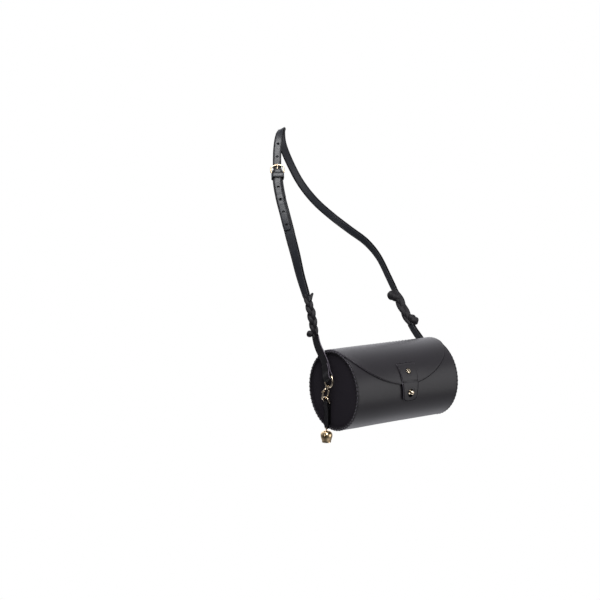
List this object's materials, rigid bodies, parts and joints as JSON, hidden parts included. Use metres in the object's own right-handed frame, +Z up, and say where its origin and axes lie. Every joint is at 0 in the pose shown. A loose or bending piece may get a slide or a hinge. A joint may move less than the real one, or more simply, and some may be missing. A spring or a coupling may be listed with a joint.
{
  "type": "barrel bag",
  "caption": "Leather barrel bag with a buckled crossbody strap, swivel hooks, a flap held by a tab on a ball stud, and a small bell.",
  "frame": {"origin": "middle of the strap's inner face where it crosses the shoulder", "axes": "+Z up, the bag's front faces -Y, its ends face X"},
  "size_m": [0.2788, 0.4051, 0.5827],
  "materials": {
    "black_leather": "smooth, soft sheen",
    "strap_leather": "fine grain, soft sheen",
    "suede_leather": "matte",
    "stiffener_board": "matte",
    "waxed_thread": "matte",
    "polished_brass": "polished"
  },
  "bodies": {
    "strap": {"strap_long": "strap_leather", "strap_short": "strap_leather", "strap_stitching": "waxed_thread", "keeper_loop": "strap_leather", "buckle_frame": "polished_brass", "left_strap_end": "strap_leather", "right_strap_end": "strap_leather", "left_knot": "strap_leather", "right_knot": "strap_leather", "left_hook_eye": "polished_brass", "right_hook_eye": "polished_brass"},
    "bag": {"barrel_shell": "black_leather", "left_end_disc": "suede_leather", "right_end_disc": "suede_leather", "left_end_board": "stiffener_board", "right_end_board": "stiffener_board", "left_rim_stitching": "waxed_thread", "right_rim_stitching": "waxed_thread", "flap_hinge_band": "black_leather", "band_stitching": "waxed_thread", "stud_ball": "polished_brass", "stud_screw": "polished_brass", "left_anchor_strip": "black_leather", "right_anchor_strip": "black_leather", "left_anchor_stitching": "waxed_thread", "right_anchor_stitching": "waxed_thread", "left_dee_ring": "polished_brass", "right_dee_ring": "polished_brass"},
    "cover": {"flap": "black_leather", "closure_tab": "black_leather", "tab_screw": "polished_brass", "tab_screw_post": "polished_brass"},
    "tongue": {"tab_tongue": "black_leather"},
    "left_hook": {"left_hook_body": "polished_brass", "left_gate_pin": "polished_brass"},
    "right_hook": {"right_hook_body": "polished_brass", "right_gate_pin": "polished_brass"},
    "left_gate": {"left_hook_gate": "polished_brass"},
    "right_gate": {"right_hook_gate": "polished_brass"},
    "prong": {"buckle_prong": "polished_brass"},
    "ring": {"bell_ring": "polished_brass"},
    "bell": {"bell_cup": "polished_brass"},
    "clapper": {"bell_clapper": "polished_brass"}
  },
  "joints": [
    {"name": "bag_swing", "type": "hinge", "parent": "strap", "child": "bag", "pos_m": [0.068, -0.23061, -0.49279], "axis": [1, 0, 0], "range_deg": [-12, 12]},
    {"name": "flap_open", "type": "hinge", "parent": "bag", "child": "cover", "pos_m": [0.068, -0.23258, -0.40287], "axis": [-1, 0, 0], "range_deg": [0, 110]},
    {"name": "tab_lift", "type": "hinge", "parent": "cover", "child": "tongue", "pos_m": [0.068, -0.32461, -0.46443], "axis": [-1, 0, 0], "range_deg": [0, 60]},
    {"name": "left_hook_swivel", "type": "hinge", "parent": "strap", "child": "left_hook", "pos_m": [-0.0615, -0.244, -0.456], "axis": [0, 0.342, -0.9397], "range_deg": [-8, 8]},
    {"name": "right_hook_swivel", "type": "hinge", "parent": "strap", "child": "right_hook", "pos_m": [0.1975, -0.244, -0.456], "axis": [0, 0.342, -0.9397], "range_deg": [-8, 8]},
    {"name": "left_gate_open", "type": "hinge", "parent": "left_hook", "child": "left_gate", "pos_m": [-0.06765, -0.2341, -0.4832], "axis": [0, -0.9397, -0.342], "range_deg": [0, 20], "stiffness_Nm_per_rad": 0.002, "springref_deg": -11.46},
    {"name": "right_gate_open", "type": "hinge", "parent": "right_hook", "child": "right_gate", "pos_m": [0.20365, -0.2341, -0.4832], "axis": [0, 0.9397, 0.342], "range_deg": [0, 20], "stiffness_Nm_per_rad": 0.002, "springref_deg": -11.46},
    {"name": "prong_lift", "type": "hinge", "parent": "strap", "child": "prong", "pos_m": [-0.0402, -0.04379, -0.08151], "axis": [0.8751, -0.4838, -0.0136], "range_deg": [0, 10]},
    {"name": "bell_ring_swing", "type": "hinge", "parent": "bag", "child": "ring", "pos_m": [-0.0568, -0.23, -0.5517], "axis": [1, 0, 0], "range_deg": [-15, 15]},
    {"name": "bell_swing", "type": "hinge", "parent": "ring", "child": "bell", "pos_m": [-0.0568, -0.23, -0.55595], "axis": [1, 0, 0], "range_deg": [-20, 20]},
    {"name": "clapper_swing", "type": "hinge", "parent": "bell", "child": "clapper", "pos_m": [-0.0568, -0.23, -0.56185], "axis": [0, 1, 0], "range_deg": [-12, 12]}
  ]
}
